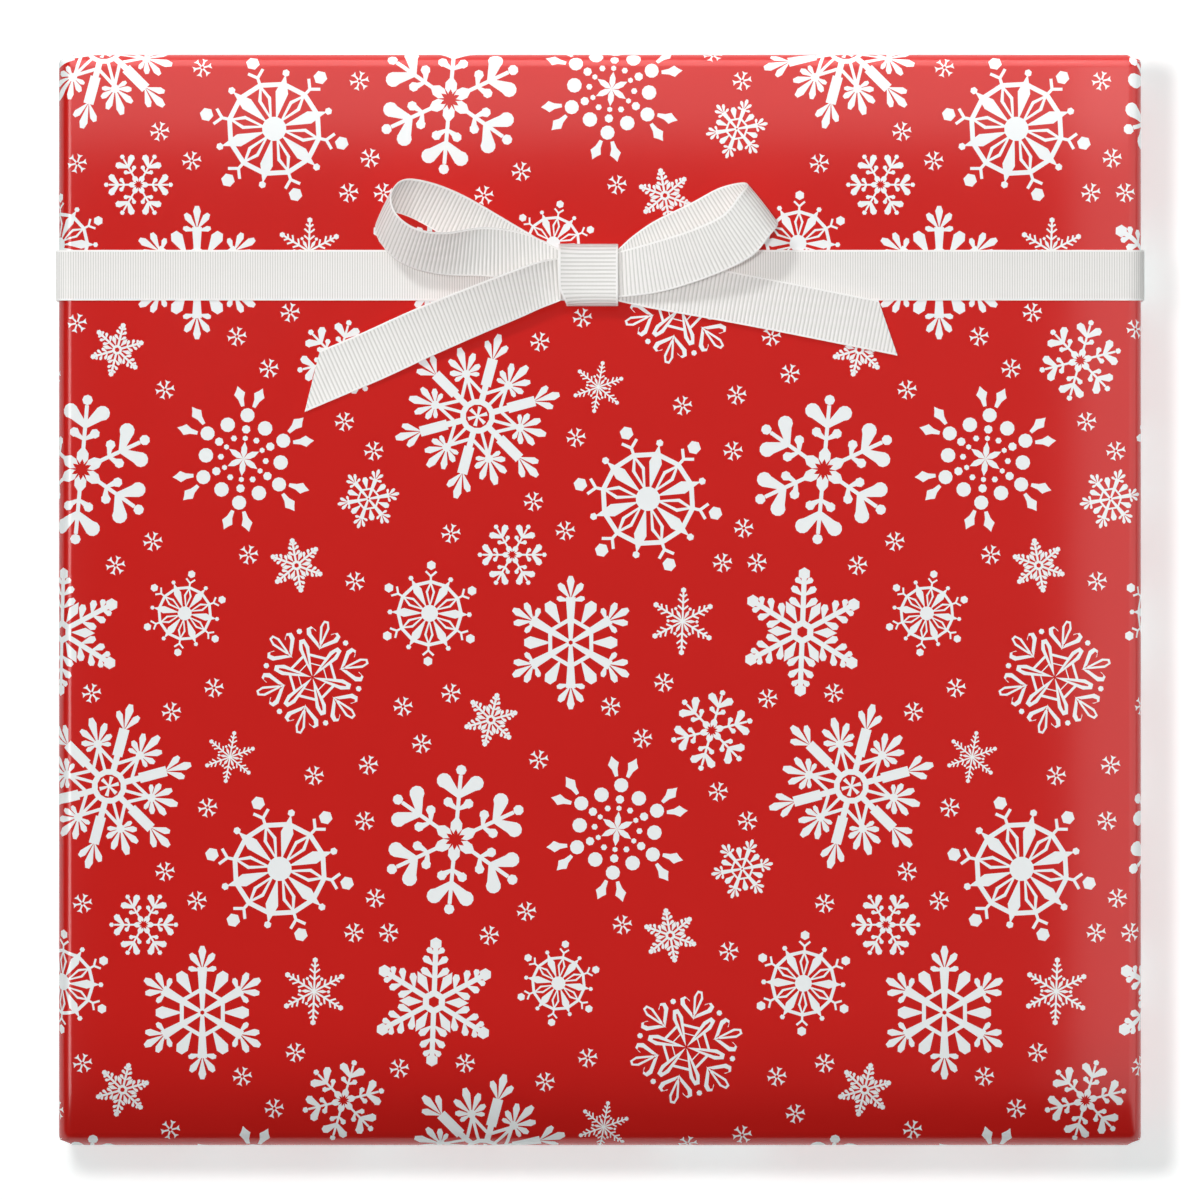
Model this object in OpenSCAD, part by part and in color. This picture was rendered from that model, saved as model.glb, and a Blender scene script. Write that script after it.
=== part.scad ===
// Gift-wrapped box: a lidded board box in folded paper, with a flat ribbon band and a tied bow.
// It lies on its back. +Z is out of the face with the bow, +Y is the upper end of that face.
// The origin is under the middle of the package, on the surface that it lies on.

/* [Gift box] */
// Width of the lid, left to right
box_w = 203; // [160:1:320]
// Length of the lid, bottom end to top end
box_l = 203; // [170:1:320]
// Depth of the closed box, back to front
box_h = 76; // [50:1:120]
// Thickness of the board
board_t = 1.5; // [1:0.1:2]
// Gap between the base's walls and the lid's walls
lid_gap = 0.4; // [0.3:0.1:1]
// Radius of the lid's folded edges, round its top
edge_r = 2.4; // [2:0.1:4]
// Radius of the lid's four upright corners
corner_r = 0.6; // [0.4:0.1:1.2]
// Height of base that shows under the lid's rim
lid_reveal = 4.5; // [4:0.1:10]
// Radius of the thumb notches in the lid's rim
thumb_r = 11; // [8:1:16]

/* [Wrapping paper] */
// Thickness of the paper
paper_t = 0.2; // [0.1:0.02:0.3]
// Width of the back seam, where the paper lies double
seam_overlap = 25; // [15:1:50]
// Height by which the two end flaps lie over each other
flap_overlap = 20; // [10:1:30]
// Width of the adhesive tape
tape_w = 19; // [12:1:25]
// Length of each piece of tape
tape_l = 60; // [30:1:80]
// Thickness of the tape
tape_t = 0.1; // [0.05:0.01:0.15]
// Distance between the tape pieces along the back seam
tape_pitch = 66; // [60:1:76]

/* [Ribbon band] */
// Width of the ribbon round the box
band_w = 9.5; // [6:0.5:16]
// Thickness of the ribbon
ribbon_t = 0.35; // [0.25:0.01:0.45]
// Running gap between the band and the paper
band_gap = 0.3; // [0.2:0.05:0.6]
// Height of the band above the middle of the face
band_y = 61; // [0:1:66]
// Length over which the band's two ends overlap under the knot
splice_l = 8.5; // [5:0.5:10]
// Thickness of the glue films
glue_t = 0.1; // [0.05:0.01:0.2]

/* [Bow] */
// Position of the knot, left or right of the middle
bow_x = -2.2; // [-20:0.1:20]
// Width of the bow's ribbon
bow_w = 9.5; // [8:0.1:11.5]
// Width of the knot, along the band
knot_w = 11.2; // [11:0.1:14]
// Room across the knot beyond the bow ribbon's width
knot_ease = 1.5; // [1:0.1:3]
// Height of the hollow in the knot
knot_hollow = 3.8; // [3.6:0.05:4.4]
// Inner radius where the knot's ribbon turns
knot_r = 1.1; // [0.8:0.1:1.5]
// Distance that the loops and tails reach into the knot
bow_tuck = 0.2; // [0.1:0.05:0.4]

/* [Hidden] */
$fn = 64;
eps = 0.02;
big = 2 * max(box_w, box_l, box_h);

// levels above the surface that the package lies on
z_tape = ribbon_t + band_gap;
z_seam = z_tape + tape_t;
z_back = z_seam + paper_t;
z_box = z_back + paper_t;
z_lid = z_box + box_h;
z_front = z_lid + paper_t;
z_band = z_front + band_gap + ribbon_t;

// paper: outer crease radius, and the flat window that the end folds close
crease_r = edge_r + paper_t;
wrap_w = box_w + 2 * paper_t;
window_w = wrap_w - 2 * crease_r;
window_low = z_back + crease_r;
window_high = z_front - crease_r;
window_h = window_high - window_low;
flap_l = (window_h + flap_overlap) / 2;

// order of the paper layers on each end, counted outwards from the box
tuck_layer = 0;
inner_gusset_layer = 1;
inner_flap_layer = 2;
outer_gusset_layer = 3;
outer_flap_layer = 4;
tape_layer = 5;

// box
base_edge_r = 1;
base_w = box_w - 2 * (board_t + lid_gap);
base_l = box_l - 2 * (board_t + lid_gap);
lid_underside = z_lid - board_t;

// bow, with heights counted from the band's outer face
bow_floor = ribbon_t + 2 * glue_t;
hollow_floor = bow_floor + ribbon_t;
hollow_mid = hollow_floor + knot_hollow / 2;
knot_across = bow_w + knot_ease;
mouth_x = knot_w / 2 - bow_tuck;
gather_reach = 1.6;
gather_w = 2 * (mouth_x - gather_reach);
path_steps = 5;

// Ribbon stations from the knot outwards: [x, y, z, heading of the width, tilt of the width,
// share of the ribbon's width]. x is counted from the knot's mouth, z from the hollow's floor.
left_loop_path = [
    [0, 0.4, 0.55, 91, 0, 0.9],
    [-4.3, 2.2, 1.05, 84, 2, 0.97],
    [-10.8, 5.6, 1.85, 73, 12, 1],
    [-20.4, 11.4, 3.45, 64, 28, 1],
    [-26.9, 14.3, 4.45, 63, 40, 1],
    [-31, 14.6, 5.45, 64, 45, 1],
    [-33, 11.8, 7.25, 63, 46, 1],
    [-31.7, 8.2, 8.45, 65, 48, 1],
    [-27.8, 5.2, 8.35, 70, 42, 1],
    [-22, 4, 6.85, 79, 34, 1],
    [-13.8, 4.3, 4.25, 88, 14, 1],
    [-6.1, 3.2, 2.05, 92, 4, 0.97],
    [0, 0.6, 1.35, 91, 0, 0.9]
];
right_loop_path = [
    [0, 0.4, 1.35, 90, 0, 0.9],
    [4.3, 3, 1.65, 104, 0, 0.98],
    [9.3, 6, 1.95, 114, 1, 1],
    [16.2, 9.4, 2.35, 120, 2, 1],
    [21.6, 12.3, 2.85, 124, 2, 1],
    [25.8, 13.5, 4.65, 128, 2, 1],
    [27.2, 13.1, 6.85, 128, 2, 1],
    [25.6, 10.9, 9.05, 127, 2, 1],
    [22.4, 7.2, 9.05, 124, 4, 1],
    [15.4, 3.9, 7.05, 112, 6, 1],
    [7.2, 1.4, 3.85, 100, 4, 1],
    [0, 0, 2.15, 91, 0, 0.9]
];
left_tail_path = [
    [0, -0.8, 2.2, 93, 0, 0.85],
    [-3.8, -1.9, 2.95, 98, 16, 0.94],
    [-8.8, -3.9, 3.45, 104, 22, 1],
    [-16.3, -6.9, 2.85, 109, 18, 1],
    [-25.8, -10.9, 1.05, 113, 10, 1],
    [-34.8, -15, -0.35, 114, 3, 1],
    [-42.8, -18.4, -0.8, 114, 0, 1],
    [-51.8, -22.2, -0.8, 113, 0, 1]
];
right_tail_path = [
    [0, -0.6, 0.55, 90, 0, 0.9],
    [4.3, -1.2, 0.5, 87, 1, 0.97],
    [8.8, -1.9, 0.4, 83, 3, 1],
    [20.8, -4, 0.2, 80, 4, 1],
    [32.8, -6.3, 0, 79, 4, 1],
    [41.8, -8.1, -0.15, 79, 4, 1],
    [54.8, -10.7, -0.3, 79, 3, 1]
];
// slanted ends of the tails: a point on the cut and the direction that the cut looks
left_cut = [-46.45, -19.95, 166];
right_cut = [50.8, -9.7, 19];

// ---- shapes that repeat ----

module rounded_rect(w, h, r) {
    square([w - 2 * r, h], center = true);
    square([w, h - 2 * r], center = true);
    for (sx = [-1, 1], sy = [-1, 1])
        translate([sx * (w / 2 - r), sy * (h / 2 - r)]) circle(r);
}

// block with edges of radius r and upright corners of radius corner, standing on z = low
module rounded_block(w, l, low, high, r, corner) {
    h = high - low;
    translate([0, 0, (low + high) / 2])
        intersection() {
            linear_extrude(h, center = true) rounded_rect(w, l, corner);
            rotate([90, 0, 0]) linear_extrude(l, center = true) rounded_rect(w, h, r);
            rotate([90, 0, 90]) linear_extrude(w, center = true) rounded_rect(l, h, r);
        }
}

// skin of paper round the box, with its ends one paper layer further out for each layer
module paper_skin(layer) {
    difference() {
        rounded_block(wrap_w, box_l + 2 * (layer + 1) * paper_t, z_back, z_front, crease_r,
            corner_r + paper_t);
        rounded_block(box_w, box_l + 2 * layer * paper_t, z_box, z_lid, edge_r, corner_r);
    }
}

module between(low, high) {
    intersection() {
        children();
        translate([0, 0, (low + high) / 2]) cube([big, big, high - low], center = true);
    }
}

// sheet of thickness t on one end of the package, from an outline drawn in x and height
module on_end(end, layer, t = paper_t) {
    translate([0, end * (box_l / 2 + layer * paper_t + t / 2), 0])
        rotate([90, 0, 0]) linear_extrude(t, center = true) children();
}

// side panel folded in against the end
module tuck(end, side) {
    on_end(end, tuck_layer)
        translate([side == 1 ? window_w / 2 - flap_l : -window_w / 2, window_low])
            square([flap_l, window_h]);
}

// flap with slanting sides; fold is the height of its crease, dir is -1 where it hangs down
module flap_outline(fold, dir) {
    polygon([
        [-window_w / 2, fold],
        [window_w / 2, fold],
        [window_w / 2 - flap_l, fold + dir * flap_l],
        [flap_l - window_w / 2, fold + dir * flap_l]
    ]);
}

// corners of the panel, folded under the flap along its slanting sides
module gusset_outline(fold, dir) {
    for (side = [-1, 1])
        polygon([
            [side * window_w / 2, fold],
            [side * (window_w / 2 - flap_l), fold],
            [side * (window_w / 2 - flap_l), fold + dir * flap_l]
        ]);
}

module inner_flap(end) {
    on_end(end, inner_flap_layer) flap_outline(window_low, 1);
    on_end(end, inner_gusset_layer) gusset_outline(window_low, 1);
}

module outer_flap(end) {
    on_end(end, outer_flap_layer) flap_outline(window_high, -1);
    on_end(end, outer_gusset_layer) gusset_outline(window_high, -1);
}

module flap_tape(end) {
    on_end(end, tape_layer, tape_t)
        translate([0, window_high - flap_l]) square([tape_l, tape_w], center = true);
}

// point on a smooth curve through the stations, at i + u
function station(path, i) =
    i < 0 ? 2 * path[0] - path[1]
    : i >= len(path) ? 2 * path[len(path) - 1] - path[len(path) - 2]
    : path[i];
function smooth(path, i, u) =
    let (a = station(path, i - 1), b = station(path, i))
    let (c = station(path, i + 1), d = station(path, i + 2))
    0.5 * (2 * b + (c - a) * u + (2 * a - 5 * b + 4 * c - d) * u * u
        + (3 * b - a - 3 * c + d) * u * u * u);
function along(path) = concat(
    [for (i = [0 : len(path) - 2], k = [0 : path_steps - 1]) smooth(path, i, k / path_steps)],
    [path[len(path) - 1]]
);
function place(s) = [s[0], s[1], s[2]];
function across(s) = [cos(s[4]) * cos(s[3]), cos(s[4]) * sin(s[3]), sin(s[4])];
function unit(v) = v / norm(v);
function outwards(s, i) =
    let (last = len(s) - 1)
    let (run = place(s[min(i + 1, last)]) - place(s[max(i - 1, 0)]))
    unit(cross(across(s[i]), run));

// flat ribbon of width bow_w swept along stations, placed at the knot's mouth
module ribbon(path, side) {
    s = along(path);
    n = len(s);
    rings = [for (i = [0 : n - 1])
        let (c = place(s[i]), half_w = across(s[i]) * bow_w * s[i][5] / 2)
        let (half_t = outwards(s, i) * ribbon_t / 2)
        each [c + half_w + half_t, c - half_w + half_t, c - half_w - half_t, c + half_w - half_t]];
    sides = [for (i = [0 : n - 2], k = [0 : 3])
        let (m = (k + 1) % 4)
        each [[4 * i + k, 4 * i + 4 + k, 4 * i + 4 + m], [4 * i + k, 4 * i + 4 + m, 4 * i + m]]];
    ends = [[0, 1, 2, 3], [4 * n - 1, 4 * n - 2, 4 * n - 3, 4 * n - 4]];
    on_bow() translate([side * mouth_x, 0, hollow_floor])
        polyhedron(rings, concat(sides, ends));
}

module on_bow() {
    translate([bow_x, band_y, z_band]) children();
}

module slant_cut(cut, side) {
    on_bow() translate([side * mouth_x + cut[0], cut[1], 0])
        rotate([0, 0, cut[2]]) translate([0, -20, -10]) cube([40, 40, 30]);
}

// ---- sub-parts ----

module gift_box_base() {
    color("whitesmoke")
        difference() {
            between(z_box, lid_underside)
                rounded_block(base_w, base_l, z_box, z_lid + board_t, base_edge_r, base_edge_r);
            translate([0, 0, z_box + board_t + box_h / 2])
                cube([base_w - 2 * board_t, base_l - 2 * board_t, box_h], center = true);
        }
}

module gift_box_lid() {
    color("white")
        difference() {
            between(z_box + lid_reveal, z_lid)
                rounded_block(box_w, box_l, z_box, z_lid, edge_r, corner_r);
            translate([0, 0, lid_underside - box_h])
                linear_extrude(box_h)
                    rounded_rect(box_w - 2 * board_t, box_l - 2 * board_t, base_edge_r);
            translate([0, 0, z_box + lid_reveal])
                rotate([0, 90, 0]) cylinder(h = 2 * box_w, r = thumb_r, center = true);
        }
}

module paper_wrap() {
    color("firebrick") {
        between(window_high, z_front + 1) paper_skin(outer_flap_layer);
        between(z_back - 1, window_low) paper_skin(inner_flap_layer);
        difference() {
            between(window_low, window_high) paper_skin(tuck_layer);
            translate([0, 0, (window_low + window_high) / 2])
                cube([window_w, big, window_h + 1], center = true);
        }
        // back seam, where one edge lies over the other
        translate([0, 0, z_seam + paper_t / 2])
            cube([seam_overlap, box_l - 2 * crease_r, paper_t], center = true);
    }
}

module seam_tape() {
    color("gainsboro")
        for (i = [-1 : 1])
            translate([seam_overlap / 2, i * tape_pitch, z_tape + tape_t / 2])
                cube([tape_w, tape_l, tape_t], center = true);
}

module top_left_tuck() {
    color("firebrick") tuck(1, -1);
}

module top_right_tuck() {
    color("firebrick") tuck(1, 1);
}

module top_inner_flap() {
    color("firebrick") inner_flap(1);
}

module top_outer_flap() {
    color("firebrick") outer_flap(1);
}

module top_flap_tape() {
    color("gainsboro") flap_tape(1);
}

module bottom_left_tuck() {
    color("firebrick") tuck(-1, -1);
}

module bottom_right_tuck() {
    color("firebrick") tuck(-1, 1);
}

module bottom_inner_flap() {
    color("firebrick") inner_flap(-1);
}

module bottom_outer_flap() {
    color("firebrick") outer_flap(-1);
}

module bottom_flap_tape() {
    color("gainsboro") flap_tape(-1);
}

// One length of ribbon round the package, its right end lapped over its left end under the knot
module ribbon_band() {
    inner_w = wrap_w + 2 * band_gap;
    inner_h = z_band - 2 * ribbon_t;
    inner_r = crease_r + band_gap;
    lap = splice_l / 2;
    step = ribbon_t + glue_t;
    color("white") translate([0, band_y, 0])
        rotate([90, 0, 0]) linear_extrude(band_w, center = true) {
            difference() {
                translate([0, z_band / 2])
                    rounded_rect(inner_w + 2 * ribbon_t, z_band, inner_r + ribbon_t);
                translate([0, z_band / 2]) rounded_rect(inner_w, inner_h, inner_r);
                // the left end stops here, clear of the rise of the right end
                translate([bow_x + lap, z_band - 2 * ribbon_t])
                    square([ribbon_t, 3 * ribbon_t]);
            }
            translate([bow_x - lap, z_band + glue_t]) square([splice_l + ribbon_t, ribbon_t]);
            polygon([
                [bow_x + lap + ribbon_t, z_band - ribbon_t],
                [bow_x + lap + 2 * ribbon_t, z_band - ribbon_t],
                [bow_x + lap + 2 * ribbon_t, z_band],
                [bow_x + lap + ribbon_t, z_band + step],
                [bow_x + lap + ribbon_t - eps, z_band + step],
                [bow_x + lap + ribbon_t - eps, z_band + glue_t]
            ]);
        }
}

module band_glue() {
    color("ivory")
        translate([bow_x, band_y, z_band + glue_t / 2])
            cube([splice_l - 1, band_w - 1, glue_t], center = true);
}

module bow_glue() {
    color("ivory") on_bow()
        translate([0, 0, ribbon_t + glue_t]) cylinder(h = glue_t, r = splice_l / 2 - 1);
}

module bow_knot() {
    color("white") on_bow()
        translate([0, 0, hollow_mid])
            rotate([90, 0, 90]) linear_extrude(knot_w, center = true)
                difference() {
                    rounded_rect(knot_across + 2 * ribbon_t, knot_hollow + 2 * ribbon_t,
                        knot_r + ribbon_t);
                    rounded_rect(knot_across, knot_hollow, knot_r);
                }
}

// middle of the bow's ribbon, folded back and forth inside the knot
module bow_gather() {
    rise = (knot_hollow - ribbon_t) / 3;
    flat_w = knot_across - 2 * knot_r;
    color("whitesmoke") on_bow()
        translate([0, 0, hollow_floor])
            rotate([90, 0, 90]) linear_extrude(gather_w, center = true) {
                for (i = [0 : 3])
                    translate([-flat_w / 2, i * rise]) square([flat_w, ribbon_t]);
                for (i = [0 : 2])
                    translate([(i % 2 == 0 ? flat_w / 2 - ribbon_t : -flat_w / 2), i * rise])
                        square([ribbon_t, rise + ribbon_t]);
            }
}

module bow_left_loop() {
    color("white") ribbon(left_loop_path, -1);
}

module bow_right_loop() {
    color("white") ribbon(right_loop_path, 1);
}

module bow_left_tail() {
    color("white") difference() {
        ribbon(left_tail_path, -1);
        slant_cut(left_cut, -1);
    }
}

module bow_right_tail() {
    color("white") difference() {
        ribbon(right_tail_path, 1);
        slant_cut(right_cut, 1);
    }
}

gift_box_base();
gift_box_lid();
paper_wrap();
seam_tape();
top_left_tuck();
top_right_tuck();
top_inner_flap();
top_outer_flap();
top_flap_tape();
bottom_left_tuck();
bottom_right_tuck();
bottom_inner_flap();
bottom_outer_flap();
bottom_flap_tape();
ribbon_band();
band_glue();
bow_glue();
bow_knot();
bow_gather();
bow_left_loop();
bow_right_loop();
bow_left_tail();
bow_right_tail();
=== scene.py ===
import math

import bmesh
import bpy
import numpy as np
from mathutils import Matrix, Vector
from mathutils.geometry import delaunay_2d_cdt


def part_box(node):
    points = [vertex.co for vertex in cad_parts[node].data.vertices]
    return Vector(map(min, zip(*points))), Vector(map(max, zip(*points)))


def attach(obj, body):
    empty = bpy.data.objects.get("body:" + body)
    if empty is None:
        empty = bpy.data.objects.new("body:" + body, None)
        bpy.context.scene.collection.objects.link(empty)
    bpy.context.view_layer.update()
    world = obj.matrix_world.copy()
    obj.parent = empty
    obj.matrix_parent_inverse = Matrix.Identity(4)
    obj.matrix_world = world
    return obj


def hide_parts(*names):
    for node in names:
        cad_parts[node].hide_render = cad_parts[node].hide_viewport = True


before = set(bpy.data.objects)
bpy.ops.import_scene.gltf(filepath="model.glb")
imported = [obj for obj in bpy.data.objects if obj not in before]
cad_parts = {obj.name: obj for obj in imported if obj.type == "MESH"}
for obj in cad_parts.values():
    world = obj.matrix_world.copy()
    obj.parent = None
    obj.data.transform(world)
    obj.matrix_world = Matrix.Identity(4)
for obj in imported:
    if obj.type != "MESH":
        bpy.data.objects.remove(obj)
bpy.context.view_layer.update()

# Everything below is worked out in millimetres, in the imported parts' own frame, and turned to metres
# when a mesh is made.
mm = 0.001


def boxMm(node):
    low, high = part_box(node)
    return low / mm, high / mm


def smoothStep(t):
    t = min(max(t, 0), 1)
    return t * t * (3 - 2 * t)


def colour(hexValue):
    channels = [int(hexValue[i:i + 2], 16) / 255 for i in (1, 3, 5)]
    linear = [c / 12.92 if c < 0.04045 else ((c + 0.055) / 1.055) ** 2.4 for c in channels]
    return (*linear, 1)


def addNode(tree, kind, settings=None, **links):
    # settings are properties or socket values; links go from another node's output to a socket
    node = tree.nodes.new(kind)
    for name, value in (settings or {}).items():
        if hasattr(node, name):
            setattr(node, name, value)
        else:
            node.inputs[name].default_value = value
    for name, source in links.items():
        tree.links.new(source, node.inputs[name.replace("_", " ")])
    return node


def newMaterial(name, settings):
    material = bpy.data.materials.new(name)
    material.use_nodes = True
    tree = material.node_tree
    shader = tree.nodes["Principled BSDF"]
    for socket, value in settings.items():
        shader.inputs[socket].default_value = value
    return material, tree, shader


def addMath(tree, operation, source, second=None):
    node = addNode(tree, "ShaderNodeMath", {"operation": operation}, Value=source)
    if second is not None:
        node.inputs[1].default_value = second
    return node.outputs["Value"]


def mixColours(tree, share, first, second):
    # first and second are hex colours or another node's output
    node = addNode(tree, "ShaderNodeMix", {"data_type": "RGBA"}, Factor=share)
    for socket, value in ((node.inputs[6], first), (node.inputs[7], second)):
        if isinstance(value, str):
            socket.default_value = colour(value)
        else:
            tree.links.new(value, socket)
    return node.outputs[2]


coating = {
    "redInk": "#C61A15",
    "redInkDeep": "#C21914",
    "whiteInk": "#EEF1F1",
    "whiteInkCool": "#E9EDEE",
    "roughness": 0.21,
    "fibre": 0.35,  # mm, the paper's fibre clumps under the coating
    "mottle": 9,  # mm, slow changes in how much ink the sheet took
}


# Gift-wrap paper, machine-coated on the printed side and offset-printed: an even saturated ink film
# with a soft satin reflection, very slightly uneven, over paper that is faintly fibrous.
def printedPaper(name, inkColour, inkOther):
    material, tree, shader = newMaterial(name, {"Roughness": coating["roughness"], "IOR": 1.5})
    place = addNode(tree, "ShaderNodeTexCoord")
    mottle = addNode(tree, "ShaderNodeTexNoise", {"Scale": 1 / (coating["mottle"] * mm), "Detail": 3},
                     Vector=place.outputs["Object"])
    ink = mixColours(tree, mottle.outputs["Fac"], inkColour, inkOther)
    tree.links.new(ink, shader.inputs["Base Color"])
    fibre = addNode(tree, "ShaderNodeTexNoise", {"Scale": 1 / (coating["fibre"] * mm), "Detail": 2},
                    Vector=place.outputs["Object"])
    relief = addNode(tree, "ShaderNodeBump", {"Strength": 0.06, "Distance": 0.02 * mm},
                     Height=fibre.outputs["Fac"])
    tree.links.new(relief.outputs["Normal"], shader.inputs["Normal"])
    return material


# The same paper's uncoated back: matt, a warmer white, with its fibres in view.
def blankPaper():
    material, tree, shader = newMaterial("uncoatedPaperBack", {"Roughness": 0.85})
    place = addNode(tree, "ShaderNodeTexCoord")
    fibre = addNode(tree, "ShaderNodeTexNoise", {"Scale": 1 / (0.8 * mm), "Detail": 5, "Roughness": 0.7},
                    Vector=place.outputs["Object"])
    shade = addNode(tree, "ShaderNodeValToRGB", Fac=fibre.outputs["Fac"])
    shade.color_ramp.elements[0].color = colour("#E6E3DC")
    shade.color_ramp.elements[1].color = colour("#F6F4EF")
    tree.links.new(shade.outputs["Color"], shader.inputs["Base Color"])
    relief = addNode(tree, "ShaderNodeBump", {"Strength": 0.15, "Distance": 0.03 * mm},
                     Height=fibre.outputs["Fac"])
    tree.links.new(relief.outputs["Normal"], shader.inputs["Normal"])
    return material


grosgrain = {
    "yarn": "#F6F5F2",
    "yarnShade": "#EFEDEB",
    # painted shade: the darker colour laid in the gaps between the ribs, where shade falls
    "paintedShadeBetweenRibs": "#CDCBC7",
    # the plain woven edge without ribs, painted a touch brighter than the yarn: a painted highlight along
    # both edges
    "selvage": "#F7F6F4",
    "selvageAt": 4.4,  # mm from the ribbon's middle
    "bandPitch": 0.468,  # mm between the weft ribs of the band
    "bowPitch": 0.745,  # mm between the coarser ribs of the bow's ribbon
    "warpPitch": 0.22,  # mm between the fine warp threads that run along the ribbon
    "roughness": 0.55,
    "sheen": 0.25,
}


# Grosgrain ribbon, woven from white polyester: fat weft ribs across it, which are modelled, covered by
# fine warp threads along it, which are a bump here. The yarn is soft-bright, never shiny. The gaps between
# the ribs are painted darker as painted shade.
def wovenRibbon(name, ribPitch):
    material, tree, shader = newMaterial(name, {
        "Roughness": grosgrain["roughness"], "Sheen Weight": grosgrain["sheen"], "Sheen Roughness": 0.4,
        "IOR": 1.54, "Specular IOR Level": 0.35})
    run = addNode(tree, "ShaderNodeUVMap", {"uv_map": "ribbonRun"})
    along = addNode(tree, "ShaderNodeSeparateXYZ", Vector=run.outputs["UV"])
    # ribbonRun holds millimetres: x along the ribbon, y across it
    warp = addMath(tree, "MULTIPLY", along.outputs["Y"], 2 * math.pi / grosgrain["warpPitch"])
    threads = addMath(tree, "SINE", warp)
    fuzz = addNode(tree, "ShaderNodeTexNoise", {"Scale": 3.0, "Detail": 4, "Roughness": 0.6},
                   Vector=run.outputs["UV"])
    yarn = mixColours(tree, fuzz.outputs["Fac"], grosgrain["yarnShade"], grosgrain["yarn"])
    # painted shade: the colour is darkened in the gaps between the modelled ribs, where shade falls between
    # them
    wave = addMath(tree, "COSINE", addMath(tree, "MULTIPLY", along.outputs["X"], 2 * math.pi / ribPitch))
    gaps = addNode(tree, "ShaderNodeMapRange", {"From Min": 0.9, "From Max": -1, "To Min": 0, "To Max": 1},
                   Value=wave)
    ribGapShade = addMath(tree, "POWER", gaps.outputs["Result"], 2.5)
    yarnWithRibShade = mixColours(tree, ribGapShade, yarn, grosgrain["paintedShadeBetweenRibs"])
    # the edges take the selvage colour, free of the painted rib shade and a touch brighter: partly the plain
    # edge's own look, partly a painted highlight
    aside = addMath(tree, "ABSOLUTE", along.outputs["Y"])
    onEdge = addMath(tree, "GREATER_THAN", aside, grosgrain["selvageAt"])
    tree.links.new(mixColours(tree, onEdge, yarnWithRibShade, grosgrain["selvage"]), shader.inputs["Base Color"])
    height = addNode(tree, "ShaderNodeMath", {"operation": "ADD"}, Value=threads)
    tree.links.new(fuzz.outputs["Fac"], height.inputs[1])
    relief = addNode(tree, "ShaderNodeBump", {"Strength": 0.25, "Distance": 0.02 * mm},
                     Height=height.outputs[0])
    tree.links.new(relief.outputs["Normal"], shader.inputs["Normal"])
    return material


# Satin-finish adhesive tape, cast acetate film: nearly clear, with a faint milky surface.
def clearTape():
    material, tree, shader = newMaterial("acetateTape", {"Roughness": 0.38, "IOR": 1.48, "Alpha": 0.22})
    place = addNode(tree, "ShaderNodeTexCoord")
    haze = addNode(tree, "ShaderNodeTexNoise", {"Scale": 1 / (6 * mm), "Detail": 2},
                   Vector=place.outputs["Object"])
    milk = addNode(tree, "ShaderNodeValToRGB", Fac=haze.outputs["Fac"])
    milk.color_ramp.elements[0].color = colour("#E9EAE6")
    milk.color_ramp.elements[1].color = colour("#F6F6F3")
    tree.links.new(milk.outputs["Color"], shader.inputs["Base Color"])
    return material


# Gift-box board, clay-coated white on both faces: smooth and matt, with faint flecks of fibre.
def coatedBoard():
    material, tree, shader = newMaterial("clayCoatedBoard", {"Roughness": 0.6, "IOR": 1.5})
    place = addNode(tree, "ShaderNodeTexCoord")
    flecks = addNode(tree, "ShaderNodeTexNoise", {"Scale": 1 / (1.2 * mm), "Detail": 4},
                     Vector=place.outputs["Object"])
    shade = addNode(tree, "ShaderNodeValToRGB", Fac=flecks.outputs["Fac"])
    shade.color_ramp.elements[0].color = colour("#DEDBD3")
    shade.color_ramp.elements[1].color = colour("#F4F2EC")
    tree.links.new(shade.outputs["Color"], shader.inputs["Base Color"])
    relief = addNode(tree, "ShaderNodeBump", {"Strength": 0.1, "Distance": 0.03 * mm},
                     Height=flecks.outputs["Fac"])
    tree.links.new(relief.outputs["Normal"], shader.inputs["Normal"])
    return material


# Hot-melt glue, set in a thin film: cloudy, slightly yellow and wet-looking.
def setGlue():
    material, tree, shader = newMaterial("hotMeltGlue", {"Roughness": 0.25, "IOR": 1.48,
                                                         "Subsurface Weight": 0.3,
                                                         "Subsurface Radius": (0.001, 0.0008, 0.0005)})
    place = addNode(tree, "ShaderNodeTexCoord")
    cloud = addNode(tree, "ShaderNodeTexNoise", {"Scale": 1 / (2 * mm)}, Vector=place.outputs["Object"])
    shade = addNode(tree, "ShaderNodeValToRGB", Fac=cloud.outputs["Fac"])
    shade.color_ramp.elements[0].color = colour("#DCD3B4")
    shade.color_ramp.elements[1].color = colour("#EFE9D2")
    tree.links.new(shade.outputs["Color"], shader.inputs["Base Color"])
    return material


redInk = printedPaper("offsetPrintedRed", coating["redInk"], coating["redInkDeep"])
whiteInk = printedPaper("coatedPaperWhite", coating["whiteInk"], coating["whiteInkCool"])
blank = blankPaper()
tape = clearTape()
board = coatedBoard()
glue = setGlue()
bowWeave = wovenRibbon("wovenBowRibbon", grosgrain["bowPitch"])
bandWeave = wovenRibbon("wovenBandRibbon", grosgrain["bandPitch"])
print("materials made")


def finishMesh(name, points, faces, materials, kinds=None, normals=None, maps=None):
    # points in mm; kinds is each face's material; normals and the maps are per corner
    mesh = bpy.data.meshes.new(name)
    mesh.from_pydata([[c * mm for c in p] for p in points], [], faces)
    for material in materials:
        mesh.materials.append(material)
    if kinds is not None:
        mesh.polygons.foreach_set("material_index", kinds)
    for mapName, corners in (maps or {}).items():
        layer = mesh.uv_layers.new(name=mapName)
        layer.uv.foreach_set("vector", np.asarray(corners, np.float32).ravel())
    mesh.shade_smooth()
    if normals is not None:
        mesh.normals_split_custom_set(normals)
    piece = bpy.data.objects.new(name, mesh)
    bpy.context.scene.collection.objects.link(piece)
    return piece


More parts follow.
